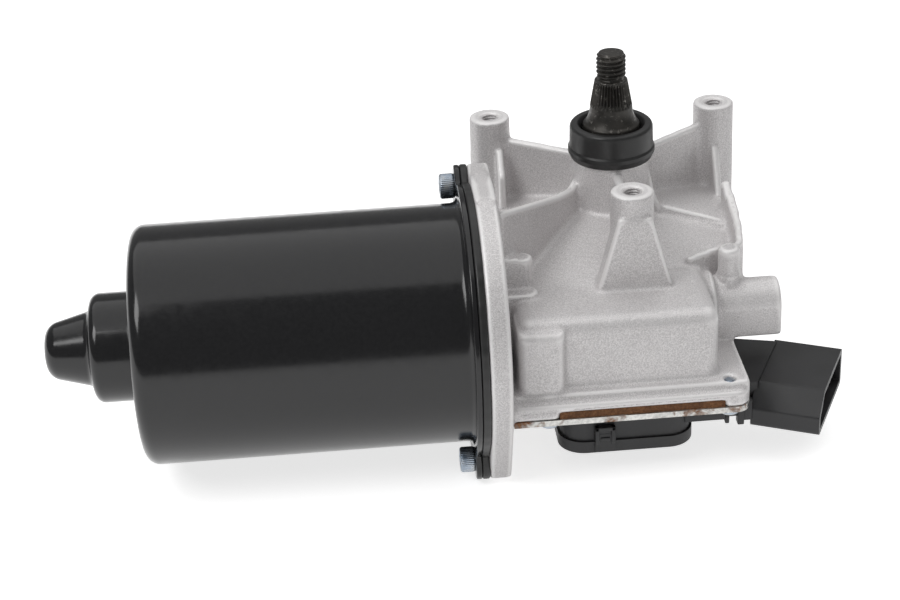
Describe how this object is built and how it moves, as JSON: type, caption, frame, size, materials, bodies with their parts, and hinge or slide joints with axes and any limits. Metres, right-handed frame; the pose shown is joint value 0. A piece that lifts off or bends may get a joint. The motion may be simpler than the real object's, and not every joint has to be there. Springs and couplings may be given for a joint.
{
  "type": "wiper motor",
  "caption": "Worm-geared electric wiper motor: round steel can, ribbed cast gear housing, splined output shaft and side connector.",
  "frame": {"origin": "output-shaft axis in the plane of the three mounting-boss tops", "axes": "+Z along the output shaft to its threaded end, +X along the motor axis from can to gearbox"},
  "size_m": [0.2684, 0.1328, 0.1236],
  "materials": {
    "cast_aluminium": "sand-textured die casting",
    "black_paint": "gloss black paint",
    "black_rubber": "smooth moulded rubber",
    "zinc_steel": "bright zinc plate",
    "ferrite": "ground ferrite",
    "brown_laminate": "paper laminate",
    "brass": "stamped brass",
    "carbon": "sintered carbon",
    "copper": "enamelled copper",
    "bronze": "sintered bronze",
    "white_plastic": "natural acetal",
    "brown_gasket": "fibre gasket",
    "zinc_sheet": "zinc-plated sheet with rust at the cut edge",
    "black_plastic": "glass-filled nylon",
    "bearing_steel": "ground steel",
    "lamination_steel": "stacked electrical steel",
    "phosphated_steel": "dark phosphate with bare metal on the crests"
  },
  "bodies": {
    "housing": {"gear_housing": "cast_aluminium", "motor_can": "black_paint", "flange_gasket": "black_rubber", "can_bolts": "zinc_steel", "field_magnets": "ferrite", "preload_washer": "zinc_steel", "brush_plate": "brown_laminate", "brush_boxes": "brass", "carbon_brushes": "carbon", "brush_springs": "zinc_steel", "suppression_chokes": "copper", "worm_end_bush": "bronze", "thrust_pad": "white_plastic", "tube_end_plug": "cast_aluminium", "lower_bush": "bronze", "upper_bush": "bronze", "shaft_seal": "black_rubber", "collar_washer": "zinc_steel", "rubber_cap": "black_rubber", "cover_gasket": "brown_gasket", "bottom_cover": "zinc_sheet", "cover_screws": "zinc_steel", "contact_housing": "black_plastic", "contact_lid": "black_plastic", "terminal_pins": "brass", "contact_fingers": "brass", "rear_outer_race": "bearing_steel", "front_outer_race": "bearing_steel"},
    "armature": {"armature_shaft": "bearing_steel", "lamination_stack": "lamination_steel", "armature_windings": "copper", "commutator": "copper", "rear_inner_race": "bearing_steel", "front_inner_race": "bearing_steel"},
    "output": {"output_shaft": "phosphated_steel", "worm_wheel": "white_plastic", "wheel_hub": "zinc_steel", "wheel_washer": "zinc_steel", "shaft_clip": "zinc_steel", "park_disc": "brass"},
    "rear_ball_set": {"rear_bearing_balls": "bearing_steel", "rear_bearing_cage": "zinc_steel"},
    "front_ball_set": {"front_bearing_balls": "bearing_steel", "front_bearing_cage": "zinc_steel"}
  },
  "joints": [
    {"name": "armature_spin", "type": "hinge", "parent": "housing", "child": "armature", "pos_m": [-0.1195, -0.04, -0.047], "axis": [1, 0, 0], "continuous": true},
    {"name": "output_spin", "type": "hinge", "parent": "housing", "child": "output", "pos_m": [0, 0, -0.047], "axis": [0, 0, 1], "continuous": true},
    {"name": "rear_balls_spin", "type": "hinge", "parent": "housing", "child": "rear_ball_set", "pos_m": [-0.1708, -0.04, -0.047], "axis": [1, 0, 0], "continuous": true},
    {"name": "front_balls_spin", "type": "hinge", "parent": "housing", "child": "front_ball_set", "pos_m": [-0.049, -0.04, -0.047], "axis": [1, 0, 0], "continuous": true}
  ],
  "couplings": [
    {"joint": "output_spin", "follows": "armature_spin", "ratio": -0.021739},
    {"joint": "rear_balls_spin", "follows": "armature_spin", "ratio": 0.36364},
    {"joint": "front_balls_spin", "follows": "armature_spin", "ratio": 0.36364}
  ]
}
